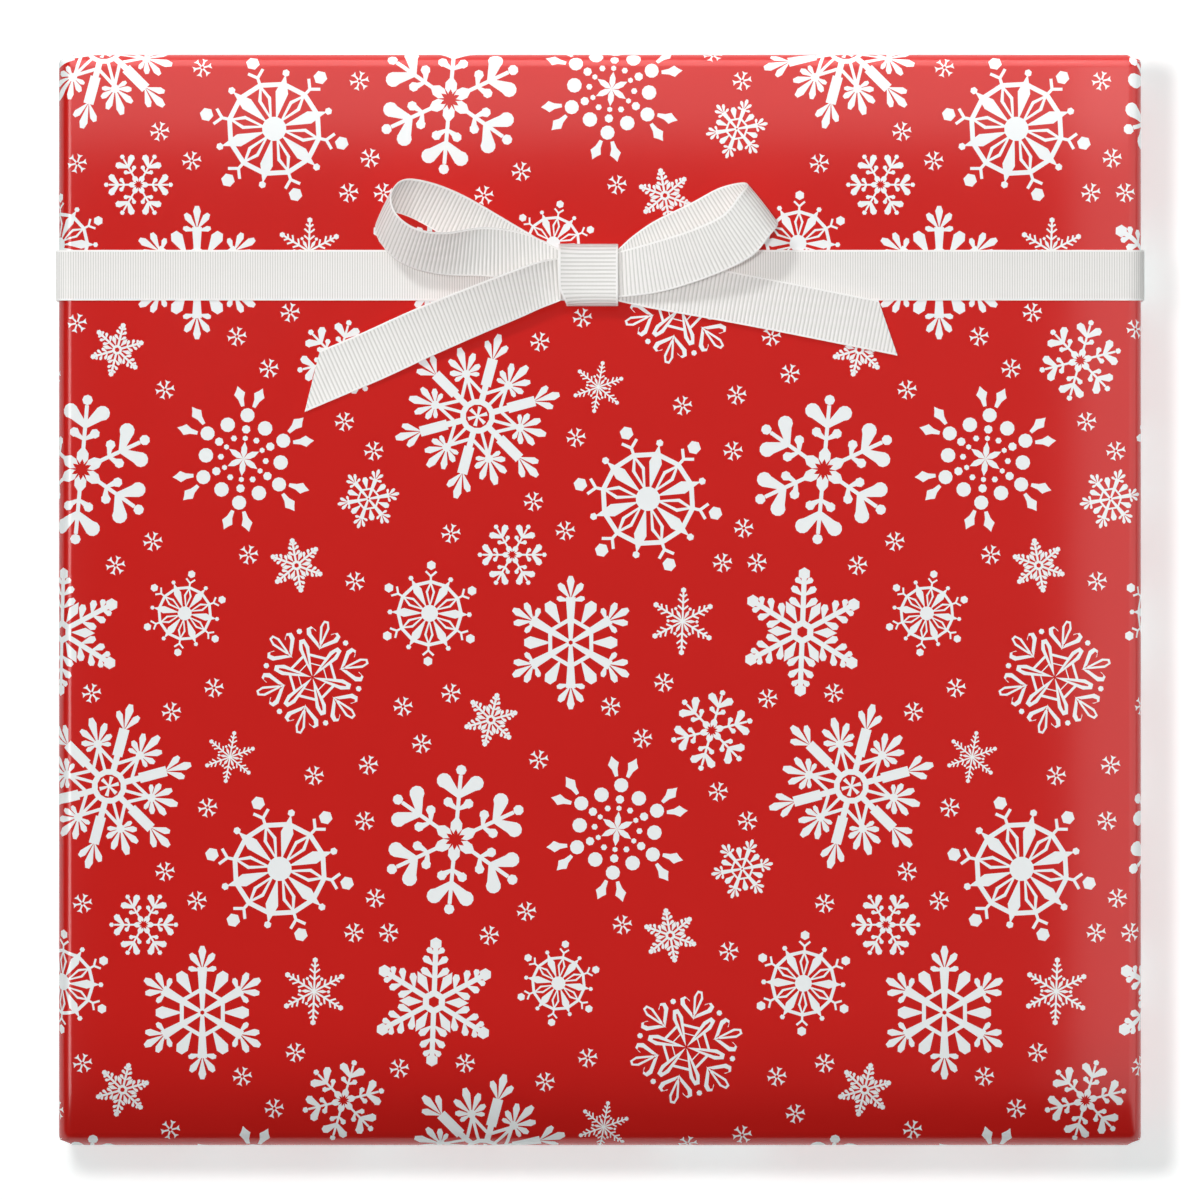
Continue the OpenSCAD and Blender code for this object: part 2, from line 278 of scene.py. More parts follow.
# Outlines run from 0 to 1 along their own axis; each point is (how far along, half width).
outlines = {
    "bar": [(0, 1), (1, 1)],
    "wedge": [(0, 0.35), (1, 1)],
    "kite": [(0, 0), (0.6, 1), (1, 0)],
    "leaf": [(0, 0), (0.35, 0.85), (0.65, 0.85), (1, 0)],
    "drop": [(0, 0), (0.76, 1), (0.99, 0.5)],
    "horn": [(0, 0.3), (0.35, 0.5), (0.62, 1), (0.8, 0.45), (1, 0)],
    "fork": [(0, 0.42), (0.56, 0.42), (0.93, 1.45), (0.84, 0)],
}
roundSides = {"dot": 12, "hexagon": 6, "ring": 12}

# Each flake has six arms and a radius of 1. A row is: inked or not, outline, angle from the arm,
# distance out, lean, length, half width. A row that leans or stands off its arm is mirrored too.
flakeForms = {
    "beadStar": [
        (1, "leaf", 0, 0, 0, 0.23, 0.045),
        (1, "dot", 0, 0.275, 0, 0, 0.037),
        (1, "dot", 0, 0.395, 0, 0, 0.058),
        (1, "dot", 0, 0.585, 0, 0, 0.095),
        (1, "horn", 6, 0.7, 14, 0.28, 0.075),
        (1, "dot", 30, 0.3, 0, 0, 0.042),
        (1, "dot", 30, 0.5, 0, 0, 0.098),
    ],
    "laceWheel": [
        (1, "ring", 0, 0, 0, 0, 0.215),
        (0, "ring", 0, 0, 0, 0, 0.145),
        (1, "wedge", 0, 0, 0, 0.12, 0.024),
        (1, "bar", 0, 0.19, 0, 0.24, 0.036),
        (1, "bar", 0, 0.38, 0, 0.34, 0.062),
        (1, "bar", 30, 0.2, 0, 0.32, 0.018),
        (1, "bar", 30, 0.5, 152, 0.26, 0.02),
        (1, "dot", 30, 0.53, 0, 0, 0.055),
        (1, "drop", 30, 0.52, 0, 0.34, 0.05),
        (1, "drop", 30, 0.53, 36, 0.27, 0.042),
        (1, "drop", 30, 0.53, 72, 0.2, 0.038),
        (1, "drop", 30, 0.53, 106, 0.16, 0.03),
        (1, "drop", 0, 0.71, 0, 0.32, 0.05),
        (1, "drop", 0, 0.7, 32, 0.25, 0.042),
    ],
    "kiteWheel": [
        (1, "ring", 0, 0, 0, 0, 0.64),
        (0, "ring", 0, 0, 0, 0, 0.575),
        (1, "kite", 30, 0.12, 0, 0.62, 0.085),
        (1, "kite", 0, 0.1, 0, 0.52, 0.09),
        (0, "kite", 0, 0.2, 0, 0.34, 0.045),
        (1, "dot", 0, 0, 0, 0, 0.165),
        (1, "dot", 30, 0.76, 0, 0, 0.05),
        (1, "bar", 0, 0.6, 0, 0.13, 0.02),
        (1, "bar", 0, 0.71, 48, 0.14, 0.02),
        (1, "hexagon", 0, 0.92, 0, 0, 0.092),
    ],
    "spokeFan": [
        (1, "hexagon", 0, 0, 0, 0, 0.4),
        (0, "hexagon", 0, 0, 0, 0, 0.33),
        (1, "wedge", 0, 0, 0, 0.7, 0.075),
        (1, "drop", 30, 0.3, 0, 0.42, 0.098),
        (1, "drop", 0, 0.68, 0, 0.35, 0.06),
        (1, "drop", 0, 0.66, 36, 0.31, 0.055),
        (1, "drop", 0, 0.64, 78, 0.22, 0.045),
        (0, "hexagon", 0, 0, 0, 0, 0.035),
    ],
    "lobeStar": [
        (1, "leaf", 0, 0.04, 0, 0.28, 0.09),
        (0, "leaf", 0, 0, 0, 0.14, 0.03),
        (1, "bar", 0, 0.26, 0, 0.6, 0.026),
        (1, "wedge", 0, 0.4, 58, 0.15, 0.045),
        (1, "dot", 15.5, 0.51, 0, 0, 0.066),
        (1, "wedge", 0, 0.58, 47, 0.27, 0.09),
        (1, "dot", 15.5, 0.8, 0, 0, 0.1),
        (1, "dot", 0, 0.93, 0, 0, 0.07),
    ],
    "webRose": [
        (1, "hexagon", 0, 0, 0, 0, 0.27),
        (0, "hexagon", 0, 0, 0, 0, 0.25),
        (1, "bar", 0, 0.42, 120, 0.43, 0.022),
        (1, "drop", 0, 0.02, 0, 0.66, 0.09),
        (0, "drop", 0, 0.2, 0, 0.4, 0.026),
        (1, "drop", 30, 0.5, 40, 0.42, 0.086),
        (1, "drop", 30, 0.48, 0, 0.52, 0.082),
        (0, "drop", 30, 0.56, 41, 0.33, 0.045),
        (0, "drop", 30, 0.64, 0, 0.32, 0.042),
        (1, "dot", 0, 0.82, 0, 0, 0.05),
    ],
    "chevronStar": [
        (1, "hexagon", 0, 0, 0, 0, 0.2),
        (1, "kite", 30, 0.17, 0, 0.38, 0.08),
        (1, "bar", 0, 0.12, 0, 0.8, 0.04),
        (1, "drop", 0, 0.36, 52, 0.27, 0.06),
        (1, "drop", 0, 0.56, 52, 0.24, 0.058),
        (1, "drop", 0, 0.74, 52, 0.17, 0.05),
        (1, "hexagon", 0, 0.92, 0, 0, 0.1),
        (0, "hexagon", 0, 0, 0, 0, 0.09),
    ],
    "twigStar": [
        (1, "bar", 0, 0, 0, 0.9, 0.028),
        (1, "bar", 0, 0.34, 50, 0.2, 0.026),
        (1, "bar", 0, 0.54, 50, 0.2, 0.026),
        (1, "kite", 30, 0.05, 0, 0.35, 0.05),
        (1, "dot", 30, 0.43, 0, 0, 0.05),
        (1, "bar", 0, 0.72, 52, 0.14, 0.026),
        (1, "dot", 0, 0.93, 0, 0, 0.085),
    ],
    "speck": [
        (1, "fork", 0, 0.14, 0, 0.86, 0.2),
    ],
}

# One repeat of the print: form, x, y and radius in mm, and the turn of its first arm in degrees.
flakePlaces = [
    ("beadStar", -67, 26.5, 14.1, 84.5),
    ("laceWheel", -23, 34.5, 15.5, 15),
    ("lobeStar", 42, 24.5, 14.1, 85),
    ("kiteWheel", 9, 19, 14.1, -12),
    ("spokeFan", -5.5, -8, 12.2, 90),
    ("chevronStar", 38, -6, 11.9, 88),
    ("webRose", -54, -14.5, 10.9, 46),
    ("kiteWheel", -32, -2.5, 9.8, 88),
    ("kiteWheel", -78, -2.5, 8.1, 80),
    ("lobeStar", -16.5, 8.5, 6.5, 60),
    ("lobeStar", 21, -24.5, 7.9, 74),
    ("spokeFan", -43.5, 19, 5.7, 70),
    ("chevronStar", -57, 6.5, 5.1, 100),
    ("chevronStar", -20.5, -22.5, 5.1, 76),
    ("twigStar", 15.5, -4, 6.3, 88),
    ("twigStar", -69.5, -29.5, 4.9, 80),
]
speckPlaces = [
    (15.5, 36.5), (-48, 33.5), (-4.5, 30.5), (-42.5, 28), (25, 28), (-12.5, 18.5), (-6.5, 13),
    (27, 13.5), (-28, 12.5), (-84, 11), (-91, 6.5), (-66, 8.5), (23, 7), (29.5, 7), (-46, 3.5),
    (12, -15.5), (-72.5, -16.5), (-28, -17.5), (-95.5, -17.5), (-37, -20), (2, -20), (-80.5, -21),
    (31.5, -18.5), (8, -26), (-33.5, -27), (-11.5, -30), (-43.5, -31),
]
repeatPrint = {
    "across": 139.4,
    "shift": 70.2,  # each row is moved along by this, and down by the next
    "down": -69.5,
    "speckRadius": 1.9,
    "speckTurn": 12,
    "finestGap": 0.18,  # mm; the print fills in anything narrower
}


def onAxis(points, x, y, direction, size):
    # outline points set at (x, y), looking along direction in degrees
    c, s = math.cos(math.radians(direction)), math.sin(math.radians(direction))
    return [(x + (a * c - b * s) * size, y + (a * s + b * c) * size) for a, b in points]


def drawFlake(form, x, y, radius, turn):
    drawn = []
    for ink, outline, angle, start, lean, length, width in flakeForms[form]:
        if not ink and width * radius < repeatPrint["finestGap"]:
            continue
        if outline in roundSides:
            count = roundSides[outline]
            if outline == "dot":
                count = min(count, max(6, round(width * radius * 8)))
            step = 2 * math.pi / count
            shape = [(width * math.cos(i * step), width * math.sin(i * step)) for i in range(count)]
        else:
            side = [(t * length, h * width) for t, h in outlines[outline]]
            shape = [(a, -b) for a, b in side if b] + side[::-1]
        if outline in roundSides and start == 0:
            drawn.append((ink, onAxis(shape, x, y, turn, radius)))
            continue
        mirrored = [(angle, lean), (-angle, -lean)] if lean or angle not in (0, 30) else [(angle, lean)]
        for arm in range(6):
            for a, l in mirrored:
                out = math.radians(turn + 60 * arm + a)
                drawn.append((ink, onAxis(shape, x + start * radius * math.cos(out),
                                          y + start * radius * math.sin(out),
                                          turn + 60 * arm + a + l, radius)))
    return drawn


def drawPrint(uLow, uHigh, vLow, vHigh):
    drawn = []
    for row in range(-4, 5):
        for column in range(-4, 5):
            dx = column * repeatPrint["across"] + row * repeatPrint["shift"]
            dy = row * repeatPrint["down"]
            for form, x, y, radius, turn in flakePlaces + [
                    ("speck", sx, sy, repeatPrint["speckRadius"], repeatPrint["speckTurn"])
                    for sx, sy in speckPlaces]:
                u, v = x + dx, y + dy
                if uLow - radius < u < uHigh + radius and vLow - radius < v < vHigh + radius:
                    drawn += drawFlake(form, u, v, radius, turn)
    return drawn


lidLow, lidHigh = boxMm("gift_box_lid")
wrapLow, wrapHigh = boxMm("paper_wrap")
tuckLow, tuckHigh = boxMm("top_left_tuck")
seamTapeLow, seamTapeHigh = boxMm("seam_tape")

paper = {
    "thickness": 0.2,
    "creaseRadius": 2.6,  # outside of every fold round the box
    "creaseSteps": 6,
    "seamOverlap": 25,
    "foldRadius": 0.2,  # where a flap's corner is pressed flat under it
    "cornerRadius": 0.8,  # outside of the package's upright corners, which are pressed sharp
    # degrees by which the face's normals lean away at its edges, and the mm that this reaches in
    "crown": {"side": (10, 22), "upper": (9, 30), "lower": (26, 28)},
}
sheetT = paper["thickness"]
creaseR = paper["creaseRadius"]
halfWidth = wrapHigh.x
faceZ = wrapHigh.z
backZ = wrapLow.z + sheetT
frontHalf = halfWidth - creaseR
creaseArc = creaseR * math.pi / 2
sideRun = faceZ - backZ - 2 * creaseR
backStart = frontHalf + 2 * creaseArc + sideRun  # distance round the girth where the back begins
seamHalf = paper["seamOverlap"] / 2
sheetHalf = backStart + frontHalf + seamHalf
boxEnd = lidHigh.y
endLayers = {"front": 5, "side": 1, "back": 3}
flatHalf = wrapHigh.y - creaseR
sheetEnd = flatHalf + creaseArc  # distance along the sheet where the end flaps begin
flapLength = tuckHigh.x - tuckLow.x
windowLow = tuckLow.z
windowHigh = tuckHigh.z


def paperEnd(u):
    # y of the paper's outer face at the package's end, which has more layers under some panels
    s = abs(u)
    side = boxEnd + endLayers["side"] * sheetT
    front = boxEnd + endLayers["front"] * sheetT
    back = boxEnd + endLayers["back"] * sheetT
    if s < frontHalf + creaseArc:
        return front + (side - front) * smoothStep((s - frontHalf) / creaseArc)
    return side + (back - side) * smoothStep((s - backStart + creaseArc) / creaseArc)


def crown(edge, distance):
    degrees, reach = paper["crown"][edge]
    return math.radians(degrees) * max(0, 1 - distance / reach) ** 2


def endTurn(share, pressed, depth):
    # the turn on to the package's end: how far short of the end, how far in, and the normal's lean.
    # It is a round edge on the face and the back, and pressed to a sharp corner on the sides.
    radius, small = creaseR - depth, paper["cornerRadius"] - depth
    a = share * math.pi / 2
    straight = creaseR - paper["cornerRadius"]
    run = share * (2 * straight + small * math.pi / 2)
    b = min(max((run - straight) / small, 0), math.pi / 2)
    last = max(0, run - straight - small * math.pi / 2) * (straight - 0.05) / straight
    roundEdge = (radius * (math.sin(a) - 1), (radius - 0.05) * (1 - math.cos(a)), a)
    corner = (small * (math.sin(b) - 1) - max(0, straight - run), small * (1 - math.cos(b)) + last, b)
    return [p + (q - p) * pressed for p, q in zip(roundEdge, corner)]


def roundBox(u, v, depth):
    # u runs round the girth from the middle of the face, v along the package, depth into the sheet
    s = abs(u)
    side = 1 if u > 0 else -1
    end = 1 if v > 0 else -1
    over = max(0, abs(v) - flatHalf)
    if s < backStart - creaseArc:
        corner = min(max((s - frontHalf) / creaseArc, 0), 1)
    else:
        corner = min(max((backStart - s) / creaseArc, 0), 1)
    short, inset, bend = endTurn(min(over / creaseArc, 1), smoothStep(corner), depth)
    edge = paperEnd(u)
    y = end * (edge - depth + short) if over else v * (edge - creaseR) / flatHalf
    radius = creaseR - depth - inset
    lean = bend
    if s < frontHalf + creaseArc:  # the face's normals lean away a little towards its edges
        turn = (1 - corner) * crown("upper" if end > 0 else "lower", max(0, flatHalf - abs(v)))
        lean = turn + bend * (1 - turn / (math.pi / 2))
        tip = crown("side", max(0, frontHalf - s))
        a = max(0, s - frontHalf) / creaseR
        b = tip + a * (1 - tip / (math.pi / 2))
        across = (math.sin(b), math.cos(b))
        x, z = frontHalf + radius * math.sin(a), faceZ - creaseR + radius * math.cos(a)
        if s < frontHalf:
            x, z = s, faceZ - depth - inset
    elif s < backStart - creaseArc:
        x, z = halfWidth - depth - inset, faceZ - creaseR - (s - frontHalf - creaseArc)
        across = (1, 0)
    elif s < backStart:
        a = (s - backStart + creaseArc) / creaseR
        x, z = frontHalf + radius * math.cos(a), backZ + creaseR - radius * math.sin(a)
        across = (math.cos(a), -math.sin(a))
    else:
        x, z = frontHalf - (s - backStart), backZ + inset + depth
        across = (0, -1)
        if side < 0:  # this edge laps over the other, one sheet further out
            z -= sheetT * smoothStep(seamHalf + 1 - x) * math.cos(bend)
    normal = Vector((side * across[0] * math.cos(lean), end * math.sin(lean), across[1] * math.cos(lean)))
    return Vector((side * x, y, z)), normal.normalized()


def thinOut(cut, kept, kinds, creaseCount):
    # inside each printed shape, takes away the cuts left where its outlines crossed, except at creases
    held = {frozenset(e) for e, origins in zip(cut[1], cut[4]) if any(o < creaseCount for o in origins)}
    flat = bmesh.new()
    corners = [flat.verts.new((spot[0], spot[1], 0)) for spot in cut[0]]
    flat.verts.index_update()
    for triangle, kind in zip(kept, kinds):
        flat.faces.new([corners[i] for i in triangle]).material_index = kind
    flat.normal_update()
    inside = [e for e in flat.edges
              if len(e.link_faces) == 2 and all(f.material_index == 1 for f in e.link_faces)
              and frozenset(v.index for v in e.verts) not in held]
    insideSet = set(inside)
    loose = [v for v in flat.verts if v.link_edges and all(e in insideSet for e in v.link_edges)]
    bmesh.ops.dissolve_limit(flat, angle_limit=0.001, use_dissolve_boundaries=False, verts=loose,
                             edges=inside)
    bmesh.ops.triangulate(flat, faces=[f for f in flat.faces if len(f.verts) > 3])
    flat.verts.index_update()
    spots = [Vector(v.co[:2]) for v in flat.verts]
    kept = [[v.index for v in f.verts] for f in flat.faces]
    kinds = [f.material_index for f in flat.faces]
    flat.free()
    return spots, kept, kinds


def layPanel(parts, outline, creases, place, printed=True):
    # adds one sheet, closed all round, to parts: printed face, blank back and rim
    us, vs = [p[0] for p in outline], [p[1] for p in outline]
    marks = drawPrint(min(us), max(us), min(vs), max(vs)) if printed else []
    flat, edges, faces = [], [], []
    for loop in [outline] + [m[1] for m in marks]:
        faces.append(list(range(len(flat), len(flat) + len(loop))))
        flat += [Vector(p) for p in loop]
    for a, b in creases:
        edges.append((len(flat), len(flat) + 1))
        flat += [Vector(a), Vector(b)]
    cut = delaunay_2d_cdt(flat, edges, faces, 1, 1e-4, True)
    kept, kinds = [], []
    for triangle, owner in zip(cut[2], cut[5]):
        if 0 in owner:
            kept.append(triangle)
            top = max(owner)
            kinds.append(1 if top and marks[top - 1][0] else 0)
    spots, kept, kinds = thinOut(cut, kept, kinds, len(edges))
    follows = dict.fromkeys((a, b) for t in kept for a, b in zip(t, t[1:] + t[:1]))
    rim = {a: b for a, b in follows if (b, a) not in follows}
    start = next(iter(rim))
    loop = [start]
    while rim[loop[-1]] != start:
        loop.append(rim[loop[-1]])
    us0, vs0 = min(us), min(vs)
    size = max(max(us) - us0, 2.1 * (max(vs) - vs0))
    number = {}
    for i in sorted({i for t in kept for i in t}):
        number[i] = len(parts["points"])
        u, v = spots[i]
        point, normal = place(u, v, 0)
        parts["points"].append(point)
        parts["normals"].append(normal)
        parts["flat"].append(((u - us0) / size, (v - vs0) / size))
    parts["faces"] += [[number[i] for i in t] for t in kept]
    parts["kinds"] += kinds
    # the back has only the creases, and shares the rim's points
    backFlat = [spots[i] for i in loop]
    backEdges = []
    for a, b in creases:
        backEdges.append((len(backFlat), len(backFlat) + 1))
        backFlat += [Vector(a), Vector(b)]
    cutBack = delaunay_2d_cdt(backFlat, backEdges, [list(range(len(loop)))], 1, 1e-4, True)
    behind = len(parts["points"])
    onRim = {}
    for i, (spot, origins) in enumerate(zip(cutBack[0], cutBack[3])):
        point, normal = place(spot[0], spot[1], sheetT if printed else parts["depth"])
        parts["points"].append(point)
        parts["normals"].append(-normal)
        parts["flat"].append(((spot[0] - us0) / size, (spot[1] - vs0) / size + 0.5))
        for origin in origins:
            if origin < len(loop):
                onRim[origin] = behind + i
    for triangle, owner in zip(cutBack[2], cutBack[5]):
        if 0 in owner:
            parts["faces"].append([behind + i for i in reversed(triangle)])
            parts["kinds"].append(2)
    for i, spot in enumerate(loop):
        j = (i + 1) % len(loop)
        parts["faces"].append([number[spot], onRim[i], onRim[j], number[loop[j]]])
        parts["kinds"].append(3)


def newParts(depth=None):
    # kinds are 0 red ink, 1 white, 2 the blank back and 3 the rim; depth is a plain sheet's thickness
    return {"points": [], "normals": [], "flat": [], "faces": [], "kinds": [], "depth": depth}


def finishSheet(name, parts, materials):
    corners, normals = [], []
    for face, kind in zip(parts["faces"], parts["kinds"]):
        corners += [parts["flat"][i] for i in face]
        if kind == 3:
            a, b, c = (parts["points"][face[k]] for k in (0, 1, 3))
            rimNormal = (b - a).cross(c - a)
            normals += [rimNormal.normalized() if rimNormal.length > 1e-9 else Vector((0, 0, 1))] * 4
        else:
            normals += [parts["normals"][i] for i in face]
    kinds = [min(k, 2) for k in parts["kinds"]]
    piece = finishMesh(name, parts["points"], parts["faces"], materials, kinds, normals,
                       {"OFBake": corners})
    print(name, len(parts["faces"]), "faces")
    return piece


paperKinds = [redInk, whiteInk, blank]


def stationLines():
    steps = paper["creaseSteps"]
    around = [frontHalf + creaseArc * i / steps for i in range(steps + 1)]
    around += [backStart - creaseArc + creaseArc * i / steps for i in range(steps + 1)]
    around += [frontHalf - d for d in (2, 6, 13, 22)]
    lines = [((s * u, -sheetEnd), (s * u, sheetEnd)) for u in around for s in (-1, 1)]
    seam = backStart + frontHalf - seamHalf
    lines += [((-seam + d, -sheetEnd), (-seam + d, sheetEnd)) for d in (0, 0.5, 1)]
    along = [flatHalf + creaseArc * i / steps for i in range(steps)]
    lines += [((-sheetHalf, s * v), (sheetHalf, s * v)) for v in along for s in (-1, 1)]
    across = frontHalf + creaseArc
    crowned = [flatHalf - d for d in (2, 6, 12, 20, 30)]
    lines += [((-across, s * v), (across, s * v)) for v in crowned for s in (-1, 1)]
    return lines


wrapParts = newParts()
layPanel(wrapParts, [(-sheetHalf, -sheetEnd), (sheetHalf, -sheetEnd), (sheetHalf, sheetEnd),
                     (-sheetHalf, sheetEnd)], stationLines(), roundBox)
wrap = finishSheet("wrapSheet", wrapParts, paperKinds)
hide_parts("paper_wrap")
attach(wrap, "package")


def flapPlace(end, layer, back):
    # a flap that hangs down from the face or stands up from the back, its corners folded under it
    middle = boxEnd + layer * sheetT

    def place(u, v, depth):
        x = math.copysign(1, u) * (frontHalf - (abs(u) - backStart)) if back else u
        q = abs(v) - sheetEnd
        side = 1 if x > 0 else -1
        beyond = (abs(x) - frontHalf + q) / math.sqrt(2)
        turned = min(max(beyond / paper["foldRadius"], 0), math.pi)
        radius = paper["foldRadius"] * (1 if depth == 0 else 0.1)
        lateral = radius * math.sin(turned) - max(0, beyond - math.pi * paper["foldRadius"])
        shift = (lateral - max(beyond, 0)) / math.sqrt(2)
        px, pq = abs(x) + shift, q + shift
        y = end * (middle + radius * math.cos(turned))
        z = windowLow + pq if back else windowHigh - pq
        down = 1 if back else -1
        normal = Vector((side * math.sin(turned) / math.sqrt(2), end * math.cos(turned),
                         down * math.sin(turned) / math.sqrt(2)))
        return Vector((side * px, y, z)), normal.normalized()

    return place


def foldLines(end, back, sides):
    lines = []
    for side in sides:
        for i in range(5):
            gap = math.sqrt(2) * paper["foldRadius"] * math.pi * i / 4
            a = (side * frontHalf, gap)
            b = (side * (frontHalf + gap - flapLength), flapLength)
            if back:
                a, b = ((s * (backStart + frontHalf - abs(x)), q) for s, (x, q) in ((side, a), (side, b)))
            lines.append(tuple((x, end * (sheetEnd + q)) for x, q in (a, b)))
    return lines


def rectangle(u0, u1, v0, v1):
    return [(min(u0, u1), min(v0, v1)), (max(u0, u1), min(v0, v1)),
            (max(u0, u1), max(v0, v1)), (min(u0, u1), max(v0, v1))]


for endName, end in (("top", 1), ("bottom", -1)):
    v0, v1 = end * sheetEnd, end * (sheetEnd + flapLength)
    outer = newParts()
    layPanel(outer, rectangle(-frontHalf, frontHalf, v0, v1), foldLines(end, False, (-1, 1)),
             flapPlace(end, 4, False))
    piece = finishSheet(endName + "OuterFlap", outer, paperKinds)
    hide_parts(endName + "_outer_flap")
    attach(piece, endName + "_flap")

    inner = newParts()
    reach = backStart + frontHalf
    layPanel(inner, rectangle(backStart, reach - seamHalf, v0, v1), foldLines(end, True, (1,)),
             flapPlace(end, 2, True))
    layPanel(inner, rectangle(-backStart, -(reach + seamHalf), v0, v1), foldLines(end, True, (-1,)),
             flapPlace(end, 2, True))
    piece = finishSheet(endName + "InnerFlap", inner, paperKinds)
    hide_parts(endName + "_inner_flap")
    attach(piece, "package")

    for sideName, side in (("Left", -1), ("Right", 1)):
        def tuckPlace(u, v, depth, side=side, end=end):
            y = end * (boxEnd + sheetT - depth)
            z = windowHigh - (abs(u) - frontHalf - creaseArc)
            return Vector((side * (frontHalf - (abs(v) - sheetEnd)), y, z)), Vector((0, end, 0))

        tuckParts = newParts()
        layPanel(tuckParts, rectangle(side * (frontHalf + creaseArc), side * (backStart - creaseArc), v0, v1),
                 [], tuckPlace)
        piece = finishSheet(endName + sideName + "Tuck", tuckParts, paperKinds)
        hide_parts(endName + "_" + sideName.lower() + "_tuck")
        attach(piece, "package")
print("wrapping paper made")


tapeStrip = {"width": 19, "length": 60, "thickness": 0.1, "tooth": 1.9, "toothDepth": 0.7}


def tapeOutline(along, middleA, middleB):
    # a strip torn off on a toothed blade at both ends; along is 0 or 1 for the axis that it runs on
    half, wide = tapeStrip["length"] / 2, tapeStrip["width"] / 2
    teeth = round(tapeStrip["width"] / tapeStrip["tooth"])
    near = []
    for i in range(2 * teeth + 1):
        near.append((half - (i % 2) * tapeStrip["toothDepth"], -wide + i * wide / teeth))
    far = [(-a, -b) for a, b in near]
    points = near + far
    return [(middleA + a, middleB + b) if along == 0 else (middleA - b, middleB + a) for a, b in points]


seamParts = newParts(tapeStrip["thickness"])
seamMiddle = (seamTapeLow.x + seamTapeHigh.x) / 2
tapePitch = (seamTapeHigh.y - seamTapeLow.y - tapeStrip["length"]) / 2


def seamTapePlace(u, v, depth):
    # u is -x, so that the printed side faces down; the strip steps up past the edge of the seam
    rise = (sheetT - 0.02) * smoothStep(-u - seamHalf - 0.1)
    return Vector((-u, v, seamTapeLow.z + depth + rise)), Vector((0, 0, -1))


for i in (-1, 0, 1):
    outline = tapeOutline(1, -seamMiddle, i * tapePitch)
    steps = [((-seamHalf - d, i * tapePitch - 31), (-seamHalf - d, i * tapePitch + 31))
             for d in (0.1, 0.6, 1.1)]
    layPanel(seamParts, outline, steps, seamTapePlace, False)
piece = finishSheet("seamTapeStrips", seamParts, [tape, tape, tape])
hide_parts("seam_tape")
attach(piece, "package")

for endName, end in (("top", 1), ("bottom", -1)):
    tapeLow, tapeHigh = boxMm(endName + "_flap_tape")
    middleZ = (tapeLow.z + tapeHigh.z) / 2
    outerFace = max(abs(tapeLow.y), abs(tapeHigh.y))

    def flapTapePlace(u, v, depth, end=end, middleZ=middleZ, outerFace=outerFace):
        # half on the flap and half, two sheets lower, on the flap under it
        z = middleZ - end * v
        drop = (2 * sheetT - 0.02) * smoothStep((middleZ - 0.1 - z) / 1.2)
        return Vector((u, end * (outerFace - depth - drop), z)), Vector((0, end, 0))

    flapTape = newParts(tapeStrip["thickness"])
    layPanel(flapTape, tapeOutline(0, 0, 0),
             [((-31, end * d), (31, end * d)) for d in (0.1, 0.5, 0.9, 1.3)], flapTapePlace, False)
    piece = finishSheet(endName + "FlapTape", flapTape, [tape, tape, tape])
    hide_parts(endName + "_flap_tape")
    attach(piece, endName + "_flap")
print("tape made")


for node in ("gift_box_base", "gift_box_lid"):
    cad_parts[node].data.materials.clear()
    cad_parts[node].data.materials.append(board)
for node in ("band_glue", "bow_glue"):
    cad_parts[node].data.materials.clear()
    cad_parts[node].data.materials.append(glue)


ribbon = {
    "thickness": 0.35,
    "width": 9.5,
    "knotPitch": 0.716,  # mm, a whole number of ribs round the knot
    "bowRibs": 0.11,  # mm deep
    "bandRibs": 0.075,
    "selvage": 0.1,  # share of the half width that is a plain woven edge
    "samples": 4,  # cuts along each rib
}


def evenRun(centres, acrosses, halves, pitch, samples):
    # the same strip, cut evenly so that each rib has its own rows
    centres, acrosses = np.array(centres, float), np.array(acrosses, float)
    halves = np.array(halves, float)
    gaps = np.linalg.norm(np.diff(centres, axis=0), axis=1)
    run = np.concatenate([[0], np.cumsum(gaps)])
    count = max(8, round(run[-1] / pitch) * samples)
    wanted = np.linspace(0, run[-1], count + 1)
    c = np.stack([np.interp(wanted, run, centres[:, k]) for k in range(3)], 1)
    a = np.stack([np.interp(wanted, run, acrosses[:, k]) for k in range(3)], 1)
    a /= np.linalg.norm(a, axis=1)[:, None]
    h = np.interp(wanted, run, halves)
    return c, a, h, wanted


